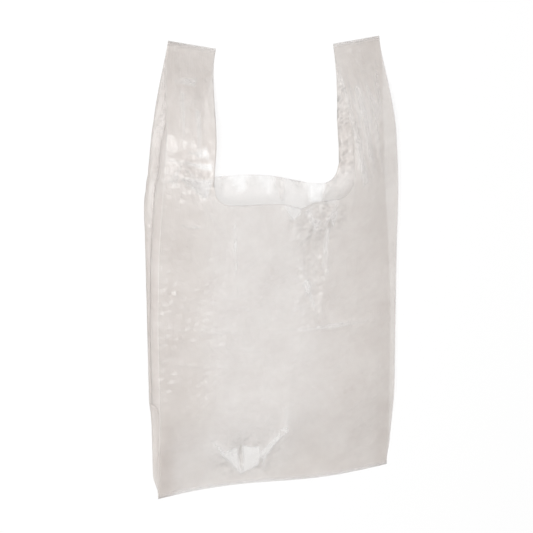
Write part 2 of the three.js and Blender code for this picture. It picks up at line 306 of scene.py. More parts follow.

# Painted highlights and, below zero, painted shade on flat facets and streaks that handling has left: how
# strongly each is painted, and the corners of its outline on the flat front or back
FACET_HIGHLIGHTS_AND_SHADE = (
    (0.9, (-98, 393), (-91, 416), (-127, 408)),
    (0.8, (-138, 423), (-92, 431), (-92, 425)),
    (0.6, (-141, 400), (-128, 421), (-131, 398)),
    (0.5, (-120, 436), (-96, 434), (-100, 446)),
    (-0.6, (-97, 391), (-88, 414), (-90, 388)),
    (-0.4, (-128, 404), (-100, 391), (-128, 388)),
    (0.8, (-132, 500), (-110, 505), (-112, 499)),
    (0.5, (-129, 492), (-127, 440), (-124, 490)),
    (-0.3, (-106, 505), (-103, 430), (-100, 500)),
    (1.0, (91, 510), (87, 483), (92, 481)),
    (1.0, (87, 487), (93, 440), (98, 442), (93, 487)),
    (1.0, (93, 446), (100, 398), (105, 401), (97, 446)),
    (1.0, (104, 494), (108, 424), (112, 430), (109, 490)),
    (0.6, (97, 504), (100, 452), (104, 466)),
    (0.6, (136, 514), (124, 460), (129, 464)),
    (-0.8, (96, 484), (101, 430), (105, 470)),
    (-0.8, (112, 486), (115, 424), (120, 460)),
    (-0.7, (84, 506), (83, 470), (88, 430)),
    (0.6, (118, 500), (121, 440), (126, 470)),
    (-0.6, (-118, 498), (-112, 500), (-116, 446)),
    (-0.6, (-99, 500), (-93, 498), (-96, 440)),
    (0.6, (-112, 476), (-106, 478), (-109, 430)),
    (0.6, (52, 356), (58, 352), (50, 300)),
    (-0.7, (28, 342), (36, 338), (28, 290)),
    (-0.6, (18, 302), (26, 296), (40, 250)),
    (0.6, (24, 284), (33, 287), (44, 240)),
    (-0.6, (43, 332), (51, 326), (46, 268)),
    (0.6, (28, 374), (44, 366), (38, 350)),
    (-0.7, (36, 391), (50, 384), (40, 364)),
    (0.7, (56, 372), (66, 378), (62, 350)),
    (0.9, (-1, 389), (19, 390), (9, 373)),
    (0.7, (44, 392), (70, 393), (59, 384)),
    (0.5, (22, 384), (36, 368), (31, 388)),
    (-0.5, (10, 372), (22, 384), (26, 366)),
    (-0.4, (40, 386), (58, 382), (48, 360)),
    (0.8, (-72, 52), (-44, 16), (-49, 54)),
    (1.0, (-43, 55), (-22, 53), (-23, 25), (-40, 17)),
    (0.7, (-21, 44), (3, 79), (-16, 27)),
    (0.8, (0, 80), (11, 78), (7, 85)),
    (-0.7, (-46, 55), (-43, 55), (-41, 17)),
    (-0.5, (-22, 24), (9, 74), (0, 40)),
    (-0.5, (5, 84), (10, 82), (7, 116)),
    (0.6, (-61, 364), (-55, 300), (-57, 330)),
    (0.5, (52, 358), (57, 288), (54, 300)),
    (0.5, (-119, 355), (-102, 359), (-104, 356)),
    (0.5, (24, 222), (108, 220), (70, 223)),
    (-0.4, (24, 219), (108, 217), (70, 214)),
)
BACK_FACET_HIGHLIGHTS_AND_SHADE = (
    (-0.9, (8, 394), (20, 394), (19, 362), (12, 362)),
    (-0.5, (-62, 394), (-54, 394), (-57, 362)),
    (-0.5, (30, 392), (39, 392), (35, 362)),
    (-0.4, (-30, 394), (-22, 394), (-24, 362)),
    (0.8, (46, 398), (72, 394), (66, 366), (50, 366)),
    (0.6, (-52, 392), (-24, 392), (-34, 364)),
    (0.4, (-18, 392), (6, 392), (2, 364)),
)
FACET_RIM = 1.4

# Small wrinkles strewn over a stretch of the front: how many, from and to across, from and to up, which way
# they run and how far that varies in degrees, their shortest and longest, their fading width and height
WRINKLES = (
    (34, -140, 140, 90, 385, 90, 30, 20, 70, 3.0, 0.6),
    (20, -112, 0, 170, 275, 0, 12, 25, 70, 3.0, 0.6),
    (22, -142, -92, 400, 525, 80, 50, 12, 36, 3.0, 0.9),
    (18, 92, 142, 400, 528, 97, 10, 30, 80, 3.0, 2.0),
    (16, 5, 80, 345, 392, 60, 60, 10, 28, 2.8, 1.2),
    (14, 14, 60, 225, 335, 80, 45, 14, 40, 2.8, 1.2),
    (18, -82, 12, 14, 90, 80, 70, 10, 30, 2.8, 1.2),
)


def smooth(value, low, high):
    """0 below low, 1 above high, and a cubic S between them."""
    part = np.clip((value - low) / (high - low), 0, 1)
    return part * part * (3 - 2 * part)


def mixed(a, b, part):
    return a + (b - a) * part


class Bag:
    """The flat sizes in millimetres, and the shape that follows from them."""

    def __init__(self, sizes):
        self.half = sizes.front_width / MM / 2
        self.gusset = sizes.gusset_depth / MM
        self.length = sizes.bag_length / MM
        self.handle = sizes.handle_width / MM
        self.mouth = sizes.mouth_height / MM
        self.corner = sizes.mouth_corner_radius / MM
        self.weld = sizes.weld_width / MM
        self.film = sizes.film_thickness / MM
        self.edge = self.half - self.handle
        self.corner_top = self.mouth + self.corner
        self.top = self.length - self.weld
        self.pitch = self.film + SEALED_LAYER_GAP
        self.floor = self.film / 2
        self.shift = np.zeros(3)
        self.tables = {side: self.depth_table(side) for side in (-1, 1)}

    def punched_edge(self, x):
        """The film's top edge at x: level across the mouth, a quarter circle, then the handle's foot."""
        into = np.clip(np.abs(x) - (self.edge - self.corner), 0, self.corner)
        return self.corner_top - np.sqrt(self.corner**2 - into**2)

    def clear(self, v, bottom=BELLY_START, top=HANDLE_FALL):
        """0 at the welds and 1 once the film is clear of them."""
        return smooth(v, self.weld, self.weld + bottom) * (1 - smooth(v, self.top - top, self.top))

    def rounding(self, v):
        return mixed(self.pitch / 2, FOLD_RADIUS, self.clear(v, FOLD_OPENING_LENGTH, FOLD_OPENING_LENGTH))

    def crease_height(self, side, v):
        rise = LEFT_CREASE_RISE if side < 0 else RIGHT_CREASE_RISE
        handle = HANDLE_RISE * smooth(v, self.mouth - HANDLE_FALL, self.corner_top)
        return self.floor + 3 * self.pitch + (rise + handle) * self.clear(v)

    def front_height(self, x, v):
        """A straight line between the creases' heights, with a parabola across the bag on top of it."""
        across = x / self.half
        sides = mixed(self.crease_height(-1, v), self.crease_height(1, v), (across + 1) / 2)
        mouth = MOUTH_RISE * smooth(v, self.mouth - HANDLE_FALL, self.mouth)
        return sides + (BELLY_RISE + mouth) * (1 - across**2) * self.clear(v)

    def between_handles(self, x):
        return 1 - smooth(np.abs(x), self.edge - self.corner, self.edge)

    def back_height(self, x, v):
        """Flat on the floor, a little lifted at the mouth, and a low arch under each handle."""
        near_mouth = smooth(v, self.mouth - HANDLE_FALL / 2, self.mouth)
        mouth = BACK_MOUTH_LIFT * self.between_handles(x) * near_mouth
        start = self.corner_top - HANDLE_FALL / 2
        along = np.clip((v - start) / (self.top - start), 0, 1)
        return self.floor + mouth + BACK_HANDLE_LIFT * np.sin(np.pi * along) ** 2

    def shift_of(self, x, face, v):
        """How far a panel's film has moved across: a straight line between its two creases' shifts."""
        up = smooth(v, self.mouth / 2, self.mouth)
        if face > 0:
            left, right = mixed(LEFT_FRONT_SHIFT, LEFT_MOUTH_SHIFT, up), RIGHT_FRONT_SHIFT
        else:
            left, right = LEFT_BACK_SHIFT, mixed(RIGHT_BACK_BODY_SHIFT, RIGHT_BACK_SHIFT, up)
        return mixed(left, right, (x / self.half + 1) / 2) * self.clear(v, SHIFT_START)

    def front_retreat(self, x, v):
        """How far the front hangs back from its flat place: most at the mouth's middle and in one notch
        beside it, and none at the welds."""
        beside = np.minimum(np.abs(x) / self.edge, 1)
        most = mixed(FRONT_MOUTH_RETREAT, FRONT_CORNER_RETREAT, beside**2)
        outward = 1 - smooth(np.abs(x), self.edge, self.half) / 2
        above = 1 - smooth(v, self.mouth, self.top)
        notch = np.exp(-(((x - FRONT_NOTCH_PLACE) / FRONT_NOTCH_REACH) ** 2))
        notch = notch * smooth(v, self.mouth - FRONT_NOTCH_LENGTH, self.mouth)
        return (most * outward * smooth(v, 0, self.mouth) + FRONT_NOTCH * notch) * above

    def back_retreat(self, x, v):
        """The same for the back's mouth: a bell curve to the right of the middle."""
        place = np.exp(-(((x - BACK_RETREAT_PLACE) / BACK_RETREAT_REACH) ** 2))
        inside = 1 - smooth(np.abs(x), self.edge, self.half)
        above = 1 - smooth(v, self.mouth, self.top)
        return BACK_MOUTH_RETREAT * place * inside * smooth(v, self.mouth / 2, self.mouth) * above

    def in_plan(self, x, v):
        """The bottom edge is skewed and one slow wave. Each handle leans inwards along a parabola and turns
        with it."""
        low = 1 - smooth(v, 0, self.mouth / 2)
        along = v - (BOTTOM_WAVE * np.sin(np.pi * x / self.half) - BOTTOM_SKEW * x / self.half) * low
        side = np.sign(x)
        outer = smooth(np.abs(x), 0, self.edge)
        run = self.length - LEAN_START
        up = np.clip((v - LEAN_START) / run, 0, 1)
        lean = np.radians(np.where(side < 0, LEFT_HANDLE_LEAN, RIGHT_HANDLE_LEAN))
        angle = -side * lean * up * outer
        beside = (x - side * (self.half - self.handle / 2)) * outer
        across = x + np.tan(angle) * up * run / 2 - beside * (1 - np.cos(angle))
        return across, along - beside * np.sin(angle)

    def crease_turn(self, side, face, v):
        opened = self.clear(v)
        if face < 0:
            return mixed(FLAT_TURN, LEFT_BACK_OPEN_TURN if side < 0 else RIGHT_BACK_OPEN_TURN, opened)
        if side > 0:
            return mixed(FLAT_TURN, RIGHT_OPEN_TURN, opened)
        untucked = smooth(v, TUCKED_LENGTH, TUCKED_LENGTH + TUCK_LENGTH)
        return mixed(FLAT_TURN, mixed(TUCKED_TURN, LEFT_OPEN_TURN, untucked), opened)

    def crease_point(self, side, face, turned, v):
        """An arc of the fold's radius about the crease: turned 0 is on the front or back, 1 on the gusset."""
        radius, crease = self.rounding(v), side * self.half
        angle = np.radians(90 - self.crease_turn(side, face, v) * turned)
        level = self.crease_height(side, v) if face > 0 else self.back_height(crease, v)
        return np.stack([
            crease + self.shift_of(crease, face, v) + side * radius * np.cos(angle),
            level - face * radius + face * radius * np.sin(angle),
        ], -1)

    def fold_middle(self, side, v):
        """The height of a gusset's centre fold, and how far its halves stand apart in a handle."""
        back = self.back_height(side * self.half, v)
        gap = self.crease_height(side, v) - back
        level = back + gap * mixed(0.5, GUSSET_SAG, self.clear(v))
        opened = smooth(v, HANDLE_GAPE_START, HANDLE_GAPE_START + HANDLE_GAPE_LENGTH) * self.clear(v)
        return level, HANDLE_GAPE / 2 * gap * opened

    def leaf_curve(self, side, face, v, depth, t):
        """Half a gusset as a cubic Bezier: it leaves the crease as the crease turns it, and reaches the
        centre fold level. Its points are for each v and, in the last place but one, each t."""
        start = self.crease_point(side, face, 1, v)
        level, gape = self.fold_middle(side, v)
        end = np.stack([side * (self.half - depth), level + face * (self.rounding(v) + gape)], -1)
        turn = np.radians(self.crease_turn(side, face, v))
        away = np.stack([side * np.cos(turn), -face * np.sin(turn)], -1)
        reach = self.gusset * GUSSET_STIFFNESS
        room = GUSSET_DIP * np.abs(start[..., 1] - end[..., 1]) / np.sin(turn)
        leaving = start + away * np.minimum(reach, room)[..., None]
        arriving = end + np.array([side * reach, 0])
        weights = ((1 - t) ** 3, 3 * t * (1 - t) ** 2, 3 * t * t * (1 - t), t**3)
        return sum(w[..., None] * p[..., None, :] for w, p in zip(weights, (start, leaving, arriving, end)))

    def depth_table(self, side):
        """How deep the centre fold lies at each length, found by halving until both halves are as wide as
        the gusset is deep."""
        v = np.linspace(0, self.length, TABLE_STEPS)
        t = np.linspace(0, 1, CURVE_STEPS)
        shallow, deep = np.zeros_like(v), np.full_like(v, self.half)
        for _ in range(DEPTH_HALVINGS):
            depth = (shallow + deep) / 2
            wide = sum(
                np.linalg.norm(np.diff(self.leaf_curve(side, face, v, depth, t), axis=-2), axis=-1).sum(-1)
                for face in (1, -1)
            )
            long = wide > 2 * self.gusset
            deep, shallow = np.where(long, depth, deep), np.where(long, shallow, depth)
        return v, shallow

    def leaf_point(self, side, face, inward, v):
        """The place on half a gusset at a distance inward from its crease, measured along the curve."""
        depth = np.interp(v, *self.tables[side])
        t = np.linspace(0, 1, CURVE_STEPS)
        curve = self.leaf_curve(side, face, v, depth, t)
        step = np.linalg.norm(np.diff(curve, axis=-2), axis=-1)
        along = np.concatenate([np.zeros((*v.shape, 1)), np.cumsum(step, -1)], -1)
        wanted = (inward / self.gusset) * along[..., -1]
        k = np.clip((along <= wanted[..., None]).sum(-1) - 1, 0, CURVE_STEPS - 2)[..., None]
        before = np.take_along_axis(along, k, -1)
        part = (wanted[..., None] - before) / np.take_along_axis(step, k, -1)
        low = np.take_along_axis(curve, k[..., None], -2)[..., 0, :]
        high = np.take_along_axis(curve, k[..., None] + 1, -2)[..., 0, :]
        return mixed(low, high, np.clip(part, 0, 1))

    def lengths(self, x, in_handle):
        """Each row's length v in a column at x: even steps up to the punched edge, and on up a handle."""
        edge = self.punched_edge(x)[:, None]
        body = self.weld + (edge - self.weld) * np.linspace(0, 1, BODY_ROWS)
        up = np.linspace(self.corner_top, self.top, HANDLE_ROWS)[1:]
        up = np.where(in_handle[:, None], up, edge)
        last = np.where(in_handle[:, None], self.length, edge)
        return np.concatenate([np.zeros_like(edge), body, up, last], 1)


def stations(stops, cells):
    """Even steps between each stop and the next, and each stop once."""
    parts = [np.linspace(a, b, n + 1)[1:] for a, b, n in zip(stops[:-1], stops[1:], cells)]
    return np.concatenate([[stops[0]], *parts])


def panel_block(bag, face):
    """The columns of the front, or of the back from right to left: flat x, and the place across and up."""
    outer = bag.edge - bag.corner
    handle, corner, middle = FRONT_CELLS if face > 0 else BACK_CELLS
    stops = (-bag.half, -bag.edge, -outer, outer, bag.edge, bag.half)
    x = stations(stops, (handle, corner, middle, corner, handle))[::face]
    v = bag.lengths(x, np.abs(x) > bag.edge - MM)
    across = x[:, None]
    height = bag.front_height(across, v) if face > 0 else bag.back_height(across, v)
    retreat = bag.front_retreat(across, v) if face > 0 else bag.back_retreat(across, v)
    return dict(x=x, v=v, place=np.stack([across + bag.shift_of(across, face, v), height], -1),
                retreat=retreat, inward=np.zeros_like(x))


def side_block(bag, side, face):
    """A crease's arc, and the half gusset beyond it in to the centre fold."""
    turned = np.linspace(0, 1, FOLD_CELLS + 1)[1:-1]
    in_handle = bag.handle * np.linspace(0, 1, LEAF_CELLS[0] + 1) ** LEAF_CROWDING
    beyond = np.linspace(bag.handle, bag.gusset, LEAF_CELLS[1] + 1)[1:]
    inward = np.concatenate([np.zeros_like(turned), in_handle, beyond])
    x = side * (bag.half - inward)
    v = bag.lengths(x, np.abs(x) > bag.edge - MM)
    arc = bag.crease_point(side, face, turned[:, None], v[: len(turned)])
    leaf = bag.leaf_point(side, face, inward[len(turned):, None], v[len(turned):])
    share = (1 - inward / bag.gusset / 2 if face > 0 else inward / bag.gusset / 2)[:, None]
    retreat = share * bag.front_retreat(side * bag.half, v)
    return dict(x=x, v=v, place=np.concatenate([arc, leaf]), retreat=retreat, inward=inward)


def centre_block(bag, side):
    """The rounded fold at a gusset's centre, a half circle from its front half round to its back half."""
    angle = np.pi * np.linspace(0, 1, FOLD_CELLS + 1)[1:-1, None]
    x = np.full(len(angle), side * (bag.half - bag.gusset))
    v = bag.lengths(x, np.zeros(len(angle), bool))
    level, gape = bag.fold_middle(side, v)
    radius = bag.rounding(v)
    depth = np.interp(v, *bag.tables[side])
    place = np.stack([
        side * (bag.half - depth - radius * np.sin(angle)),
        level + (radius + gape) * np.cos(angle),
    ], -1)
    retreat = bag.front_retreat(side * bag.half, v) / 2
    return dict(x=x, v=v, place=place, retreat=retreat, inward=np.full(len(angle), bag.gusset))


def reverse(block):
    return {name: values[::-1] for name, values in block.items()}


def film_grid(bag):
    """The film's columns, once round the tube, with each column's face and side."""
    blocks = (
        (1, 0, panel_block(bag, 1)),
        (1, 1, side_block(bag, 1, 1)),
        (0, 1, centre_block(bag, 1)),
        (-1, 1, reverse(side_block(bag, 1, -1))),
        (-1, 0, panel_block(bag, -1)),
        (-1, -1, side_block(bag, -1, -1)),
        (0, -1, reverse(centre_block(bag, -1))),
        (1, -1, reverse(side_block(bag, -1, 1))),
    )
    grid = {name: np.concatenate([block[name] for _, _, block in blocks]) for name in blocks[0][2]}
    grid["face"] = np.concatenate([np.full(len(block["x"]), face) for face, _, block in blocks])
    grid["side"] = np.concatenate([np.full(len(block["x"]), side) for _, side, block in blocks])
    return grid


def tent(x, v, crease):
    """A crease: its height on its line, falling off as an exponential of the distance from the line."""
    x0, v0, x1, v1, width, height = crease
    along = np.array([x1 - x0, v1 - v0], float)
    part = np.clip(((x - x0) * along[0] + (v - v0) * along[1]) / (along @ along), 0, 1)
    away = np.hypot(x - x0 - part * along[0], v - v0 - part * along[1])
    ends = np.sqrt(np.sin(np.pi * np.clip(part, CREASE_ENDS, 1 - CREASE_ENDS)))
    return height * ends * np.exp(-away / width)


def zigzag(t):
    """A wave of straight flanks between -1 and 1, whose crests are sharp."""
    return 2 * np.abs(2 * (t - np.floor(t + 0.5))) - 1


def crumple(x, v, size, seed):
    """Sharp folds in several directions, each zigzag bent by slow sines: flat facets about size across."""
    rng = np.random.default_rng(seed)
    most, quickness, offset = FOLD_BEND
    total = 0
    for _ in range(FOLD_WAYS):
        angle, phase, scale = rng.uniform(0, np.pi), rng.uniform(0, 1), size * rng.uniform(*FOLD_SPREAD)
        slow = (x * rng.uniform(-1, 1) + v * rng.uniform(-1, 1)) / scale * quickness
        bend = most * np.sin(slow + offset * phase)
        total = total + zigzag((x * np.cos(angle) + v * np.sin(angle)) / scale / 2 + phase + bend)
    return total / FOLD_WAYS


def drift(x, v, size, seed):
    """A slow random swell between about -1 and 1, a sum of sines in random directions."""
    rng = np.random.default_rng(seed)
    total = 0
    for _ in range(SWELL_WAVES):
        angle, phase = rng.uniform(0, 2 * np.pi), rng.uniform(0, 2 * np.pi)
        scale = size * rng.uniform(*SWELL_SPREAD)
        total = total + np.sin((x * np.cos(angle) + v * np.sin(angle)) * 2 * np.pi / scale + phase)
    return total / (SWELL_WAVES / 2)


def patch(x, v, centre, reach):
    """1 in the middle of an oval and fading out at its rim."""
    return np.exp(-(((x - centre[0]) / reach[0]) ** 2 + ((v - centre[1]) / reach[1]) ** 2) ** PATCH_EDGE)


def facet(x, v, corners):
    """1 inside a convex outline and fading to 0 over its rim, by the least distance inward from a side."""
    (ax, av), (bx, bv), (cx, cv) = corners[:3]
    way = np.sign((bx - ax) * (cv - av) - (bv - av) * (cx - ax))
    inside = np.inf
    for (x0, v0), (x1, v1) in zip(corners, corners[1:] + corners[:1]):
        away = ((x1 - x0) * (v - v0) - (v1 - v0) * (x - x0)) / math.hypot(x1 - x0, v1 - v0)
        inside = np.minimum(inside, way * away)
    return smooth(inside, -FACET_RIM, FACET_RIM)


def strewn_wrinkles():
    """The small wrinkles as creases, strewn at random within each stretch."""
    rng = np.random.default_rng(WRINKLE_SEED)
    found = []
    for count, x0, x1, v0, v1, way, spread, short, long, width, height in WRINKLES:
        for _ in range(count):
            x, v, angle = rng.uniform(x0, x1), rng.uniform(v0, v1), np.radians(rng.normal(way, spread))
            half = rng.uniform(short, long) / 2
            across, up = half * np.cos(angle), half * np.sin(angle)
            high = height * rng.choice((-1, 1)) * rng.uniform(WRINKLE_LOWEST, 1)
            found.append((x - across, v - up, x + across, v + up, width, high))
    return found


def form(kind, x, v, height, size, seed):
    """A random form at its height."""
    return height * kind(x, v, size, seed)


def front_relief(x, v):
    """The creases, crumples, wrinkles and swells of the front, as heights above its smooth form."""
    height = sum(tent(x, v, crease) for crease in (*FRONT_CREASES, *strewn_wrinkles()))
    for swell in FRONT_SWELLS:
        height = height + form(drift, x, v, *swell)
    for number, (centre, reach, size, high, _, _) in enumerate(CRUMPLES):
        height = height + form(crumple, x, v, high, size, CRUMPLE_SEED + number) * patch(x, v, centre, reach)
    return height + form(crumple, x, v, *FRONT_FACETING)


def back_relief(bag, x, v):
    """The back sags inwards near its mouth in slow swells, and in facets that are highest at the mouth."""
    high, size, seed = BACK_SWELL
    swell = high * (1 + drift(x, v, size, seed)) * smooth(v, bag.mouth - BACK_SWELL_REACH, bag.mouth)
    high, size, seed = BACK_FACETING
    start, end = BACK_MOUTH_REACH
    high = mixed(high, BACK_MOUTH_FACETING, smooth(v, bag.mouth - start, bag.mouth - end))
    return -swell - high * (1 + crumple(x, v, size, seed))


def columns(grid):
    """Each column's flat x, its lengths v, its face and its side, shaped to go together."""
    return grid["x"][:, None], grid["v"], grid["face"][:, None], grid["side"][:, None]


def relief(bag, grid):
    """How far each place of the film stands out of its smooth form, along the film's own normal."""
    x, v, face, side = columns(grid)
    panel = np.where(face > 0, front_relief(x, v), back_relief(bag, x, v))
    panel = panel * bag.clear(v, RELIEF_FADE, RELIEF_FADE) * (1 - np.abs(x / bag.half) ** CREASE_FADE_POWER)
    inward = grid["inward"][:, None] / bag.gusset
    middle = np.sin(np.pi * np.clip(inward, 0, 1)) * (1 - inward)
    gusset = form(crumple, x, v + GUSSET_HALVES_APART * face, *GUSSET_FACETING) * middle
    return np.where(side == 0, panel, gusset * bag.clear(v, GUSSET_RELIEF_FADE, GUSSET_RELIEF_FADE))


def film_points(bag, grid):
    place, v = grid["place"], grid["v"]
    across, along = bag.in_plan(place[..., 0], v)
    return np.stack([across, along - grid["retreat"], place[..., 1]], -1) + bag.shift


def film_cells(grid, bag):
    """The grid's four-sided cells: all round the tube in the body's rows, and between a handle's columns."""
    columns, rows = grid["v"].shape
    numbers = np.arange(columns * rows).reshape(columns, rows)
    here, following = numbers, np.roll(numbers, -1, 0)
    cells = np.stack([here[:, :-1], following[:, :-1], following[:, 1:], here[:, 1:]], -1)
    in_handle = np.abs(grid["x"]) > bag.edge - MM
    both = in_handle & np.roll(in_handle, -1)
    row = np.arange(rows - 1)
    return cells[(row[None, :] < BODY_ROWS) | both[:, None]]


def normals_of(points, cells):
    """Each point's normal, the sum of the cross products of the diagonals of the cells about it."""
    cross = np.cross(points[cells[:, 2]] - points[cells[:, 0]], points[cells[:, 3]] - points[cells[:, 1]])
    total = np.zeros_like(points)
    for corner in range(4):
        np.add.at(total, cells[:, corner], cross)
    return total / np.maximum(np.linalg.norm(total, axis=1), 1e-12)[:, None]


def walled(points, cells, thickness):
    """A closed wall: the surface moved half a thickness out and half in, and joined along its free edges."""
    used, cells = np.unique(cells, return_inverse=True)
    cells = cells.reshape(-1, 4)
    points = points[used]
    offset = normals_of(points, cells) * thickness / 2
    count = len(points)
    edges = np.concatenate([cells[:, [k, (k + 1) % 4]] for k in range(4)])
    key = np.sort(edges, 1)
    _, first, uses = np.unique(key[:, 0] * count + key[:, 1], return_index=True, return_counts=True)
    free = edges[first[uses == 1]]
    rim = np.stack([free[:, 0], free[:, 0] + count, free[:, 1] + count, free[:, 1]], -1)
    faces = np.concatenate([cells, cells[:, ::-1] + count, rim])
    return np.concatenate([points + offset, points - offset]), faces, used


def new_object(name, points, faces):
    """A smooth-shaded mesh from points in millimetres."""
    mesh = bpy.data.meshes.new(name)
    mesh.from_pydata(points * MM, [], faces)
    mesh.polygons.foreach_set("use_smooth", np.ones(len(mesh.polygons), bool))
    mesh.update()
    return linked(name, mesh)


def laid_out(sizes):
    """The bag and its grid, moved in plan so that the film is centred on the solid that it replaces."""
    bag = Bag(sizes)
    grid = film_grid(bag)
    points = film_points(bag, grid).reshape(-1, 3)
    middle = (points.min(0) + points.max(0)) / 2
    wanted = (np.array(CAD_BOX[0]) + np.array(CAD_BOX[1])) / MM / 2
    bag.shift = np.array([wanted[0] - middle[0], wanted[1] - middle[1], 0])
    return bag, grid


def painted_light_and_shade(bag, grid):
    """Where the film is painted light, as whitening and a painted highlight along crease ridges, as painted
    highlights in facets and painted glints on random facets, with the real whitening of the side folds, and
    where it is painted shade, along crease valleys and in facets, both from 0 to 1."""
    x, v, face, side = columns(grid)
    front, back = (face > 0) & (side == 0), (face < 0) & (side == 0)
    light, shaded = 0.0, 0.0
    for x0, v0, x1, v1, _, high in (*FRONT_CREASES, *strewn_wrinkles()):
        share = min(abs(high) / CREASE_FULL_WHITE_AND_HIGHLIGHT, 1)
        line = tent(x, v, (x0, v0, x1, v1, WHITENED_AND_HIGHLIT_WIDTH, share)) * front
        light, shaded = light + line * (high > 0), shaded + line * (high < 0)
    for panel, facets in ((front, FACET_HIGHLIGHTS_AND_SHADE), (back, BACK_FACET_HIGHLIGHTS_AND_SHADE)):
        for amount, *corners in facets:
            inside = facet(x, v, corners) * panel
            light, shaded = light + max(amount, 0) * inside, shaded + max(-amount, 0) * inside
    # Painted glints: the painted light is raised on random facets
    light = light * (1 + PAINTED_GLINT_GAIN * (crumple(x, v, *PAINTED_GLINT_FACETING) > 0))
    at_fold = grid["inward"][:, None] < WHITENED_AND_HIGHLIT_WIDTH
    light = light + SIDE_FOLD_LIGHT * np.exp(-(bag.half - np.abs(x)) / WHITENED_AND_HIGHLIT_WIDTH) * at_fold
    return np.clip(light, 0, 1), np.clip(shaded, 0, 1)


def crackled(bag, grid):
    """How crackled the film is, from 0 to 1: a little everywhere, and more where it is crumpled."""
    x, v, face, side = columns(grid)
    amount = CRACKLE + form(drift, x, v, *CRACKLE_DRIFT)
    for centre, reach, _, _, more, _ in CRUMPLES:
        amount = amount + more * patch(x, v, centre, reach)
    back_mouth = (face < 0) * (side == 0) * smooth(v, bag.mouth - FRONT_MOUTH_RETREAT, bag.mouth)
    return np.clip(amount + BACK_MOUTH_CRACKLE * back_mouth, LEAST_CRACKLE, 1)


def panel_density(bag, x, v, face):
    """How many films' worth of light the front and the back stop: more towards their sides, in the middle of
    the bottom, and along the lone edge of each handle."""
    outward, up = np.abs(x), smooth(v, *SIDE_DENSITY_HEIGHTS)
    middle = np.where(face > 0, FRONT_DENSITY, BACK_DENSITY)
    left = mixed(LEFT_DENSITY_AT_BOTTOM, LEFT_DENSITY, up)
    start, end = (mixed(low, high, up) for low, high in zip(RIGHT_PLACES_AT_BOTTOM, RIGHT_PLACES))
    panel = np.where(x < 0, mixed(middle, left, smooth(outward, *LEFT_PLACES)),
                     mixed(middle, RIGHT_DENSITY, smooth(outward, start, end)))
    low_down = (1 - smooth(v, *BOTTOM_HEIGHTS)) * (1 - smooth(outward, *BOTTOM_PLACES))
    in_mouth = (face < 0) * smooth(v, bag.mouth - FRONT_MOUTH_RETREAT, bag.mouth) * bag.between_handles(x)
    panel = (panel + BOTTOM_DENSITY * low_down) * mixed(1, MOUTH_DENSITY, in_mouth)
    lone = np.where(x < 0, face > 0, face < 0) * smooth(v, bag.mouth, bag.corner_top) * bag.clear(v)
    panel = panel + HANDLE_EDGE_DENSITY * (1 - smooth(outward - bag.edge, *HANDLE_EDGE_REACH)) * lone
    for centre, reach, _, _, _, amount in CRUMPLES:
        panel = panel + amount * patch(x, v, centre, reach) * (face > 0)
    return panel


def film_density(bag, grid, light, shaded):
    """How many films' worth of light each place stops. The gussets stop less than the front and the back,
    down to none at the centre fold, and the film's cut ends let more through."""
    x, v, face, side = columns(grid)
    # Painted highlights let more light through here, and painted shade stops more
    panel = panel_density(bag, x, v, face) * (1 - WHITE_AND_HIGHLIGHT_SHARE * light) + PAINTED_SHADE_DENSITY * shaded
    inward = grid["inward"][:, None] / bag.gusset
    left_crease = mixed(*LEFT_CREASE_DENSITY, smooth(v, *CREASE_DENSITY_HEIGHTS))
    at_crease = np.where(side < 0, left_crease, RIGHT_CREASE_DENSITY)
    gusset = mixed(at_crease, GUSSET_DENSITY, smooth(inward, 0, CREASE_DENSITY_REACH))
    gusset = gusset * (1 - smooth(inward, 1 - GUSSET_FADE, 1))
    near_edge = 1 - smooth(np.minimum(v, bag.length - v), 0, EDGE_REACH)
    return np.where(side == 0, panel, gusset) * (1 - EDGE_THINNING * near_edge)


def flat_places(bag, grid):
    """Each point's place on the film, in metres: across and up the flat bag, and how far round from the front
    to the back, so that the pattern of one layer isn't that of the next."""
    share = np.clip(grid["inward"] / bag.gusset, 0, 1) / 2
    round_to_back = np.where(grid["face"] > 0, share, 1 - share)
    x, v = grid["x"][:, None] + 0 * grid["v"], grid["v"]
    return np.stack([x * MM, v * MM, LAYER_APART * round_to_back[:, None] + 0 * v], -1)


def set_attribute(piece, name, values):
    """One number or one vector for each point."""
    kind, part = ("FLOAT_VECTOR", "vector") if values.ndim > 1 else ("FLOAT", "value")
    layer = piece.data.attributes.new(name, kind, "POINT")
    layer.data.foreach_set(part, values.astype(np.float32).ravel())


def build_film(sizes, look):
    """The whole film as one closed wall that follows the smooth form and stands out of it by the relief."""
    bag, grid = laid_out(sizes)
    cells = film_cells(grid, bag)
    points = film_points(bag, grid).reshape(-1, 3)
    points = points + normals_of(points, cells) * relief(bag, grid).reshape(-1, 1)
    points[:, 2] = np.maximum(points[:, 2], bag.floor)
    wall, faces, used = walled(points, cells, bag.film)
    piece = new_object("bag_film", wall, faces.tolist())
    light, shaded = painted_light_and_shade(bag, grid)
    depth = film_density(bag, grid, light, shaded)
    # The whitening also carries the painted highlights, and the films' depth the painted shade
    marks = {"whitened_and_highlit": light, "crackle": crackled(bag, grid), "films_deep": depth}
    both_skins = np.concatenate([used, used])
    set_attribute(piece, "flat_place", flat_places(bag, grid).reshape(-1, 3)[both_skins])
    for name, values in marks.items():
        set_attribute(piece, name, (values + 0 * grid["v"]).reshape(-1)[both_skins])
    piece.data.materials.append(film_material(look))
    return bag, piece


